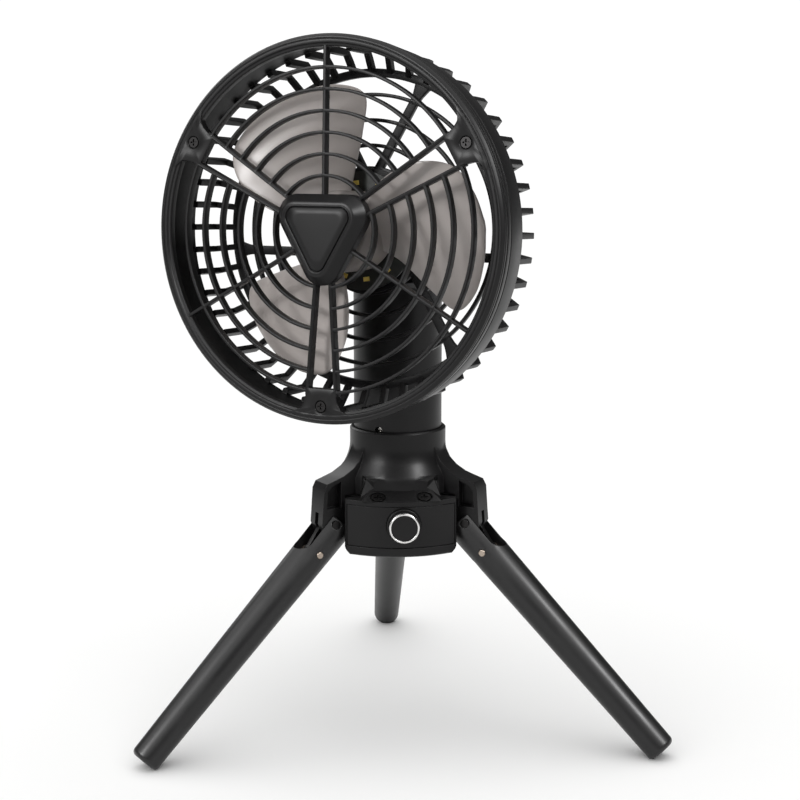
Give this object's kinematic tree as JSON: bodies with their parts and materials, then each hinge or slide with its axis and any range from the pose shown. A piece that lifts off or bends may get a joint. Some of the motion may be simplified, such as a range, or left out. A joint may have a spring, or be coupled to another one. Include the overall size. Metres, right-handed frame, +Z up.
{
  "type": "portable camping fan",
  "caption": "Portable battery fan: round ribbed cage with paddle blades and a light ring, tilting on a swivelling column above a fold-out tripod base with a control knob.",
  "frame": {"origin": "floor, under the middle of the whole fan's bounding box", "axes": "Z up, front of the base faces -Y, X to the viewer's right"},
  "size_m": [0.2952, 0.2954, 0.3894],
  "materials": {
    "shell_black": "satin moulded black",
    "cap_black": "semi-gloss black",
    "plate_black": "fine matte black",
    "leg_black": "smooth satin black",
    "blade_frost": "frosted translucent grey",
    "steel_dark": "black oxide",
    "steel_bright": "plain",
    "rivet": "warm nickel",
    "chrome": "polished",
    "knob_black": "gloss black",
    "board": "dark solder mask",
    "lamp": "yellow phosphor",
    "copper": "wound copper and laminations",
    "cell_wrap": "shrink sleeve",
    "holder": "moulded"
  },
  "bodies": {
    "base": {"upper_housing": "shell_black", "lug_screws": "steel_dark", "base_shell": "shell_black", "front_panel": "plate_black", "bottom_cover": "shell_black", "cover_screws": "steel_dark", "control_board": "board", "knob_boss": "shell_black", "encoder": "steel_bright", "leg_pins": "steel_dark"},
    "column": {"yoke": "shell_black", "tilt_washers": "steel_bright", "tilt_pin": "steel_dark", "column_shell": "shell_black", "swivel_plug": "holder", "swivel_clip": "steel_bright", "column_lock_screw": "steel_bright", "battery_cells": "cell_wrap", "battery_holder": "holder"},
    "head": {"front_grille": "shell_black", "hub_cap": "cap_black", "badge_plate": "plate_black", "grille_screws": "steel_dark", "rear_cage": "shell_black", "rear_spider": "shell_black", "motor_screws": "steel_dark", "motor_stator": "copper", "motor_bearings": "steel_bright", "motor_housing": "shell_black", "knuckle_screws": "steel_dark", "light_board": "board", "light_chips": "lamp", "tilt_knuckle": "shell_black"},
    "blades": {"fan_blades": "blade_frost", "blade_nut": "steel_bright", "motor_shaft": "steel_bright", "motor_rotor": "steel_bright"},
    "knob_body": {"knob": "knob_black", "knob_ring": "chrome", "knob_shaft": "steel_bright"},
    "leg_left_body": {"leg_left": "leg_black", "leg_left_link": "steel_dark", "leg_left_rivet": "rivet"},
    "leg_right_body": {"leg_right": "leg_black", "leg_right_link": "steel_dark", "leg_right_rivet": "rivet"},
    "leg_rear_body": {"leg_rear": "leg_black", "leg_rear_link": "steel_dark", "leg_rear_rivet": "rivet"}
  },
  "joints": [
    {"name": "column_swivel", "type": "hinge", "parent": "base", "child": "column", "pos_m": [0, -0.0204, 0.14099], "axis": [0, 0, 1], "range_deg": [-121, 178]},
    {"name": "head_tilt", "type": "hinge", "parent": "column", "child": "head", "pos_m": [0, -0.0204, 0.27199], "axis": [-0.8808, 0.4735, 0], "range_deg": [-6, 87]},
    {"name": "blade_spin", "type": "hinge", "parent": "head", "child": "blades", "pos_m": [-0.04286, -0.10013, 0.2896], "axis": [-0.473, -0.88, 0.0436], "continuous": true},
    {"name": "knob_turn", "type": "hinge", "parent": "base", "child": "knob_body", "pos_m": [0.0012, -0.0714, 0.12409], "axis": [0, 1, 0], "range_deg": [0, 270]},
    {"name": "leg_left_fold", "type": "hinge", "parent": "base", "child": "leg_left_body", "pos_m": [-0.04114, -0.04415, 0.12169], "axis": [0.5, -0.866, 0], "range_deg": [0, 46]},
    {"name": "leg_right_fold", "type": "hinge", "parent": "base", "child": "leg_right_body", "pos_m": [0.04114, -0.04415, 0.12169], "axis": [0.5, 0.866, 0], "range_deg": [0, 46]},
    {"name": "leg_rear_fold", "type": "hinge", "parent": "base", "child": "leg_rear_body", "pos_m": [0, 0.0271, 0.12169], "axis": [-1, 0, 0], "range_deg": [0, 46]}
  ]
}
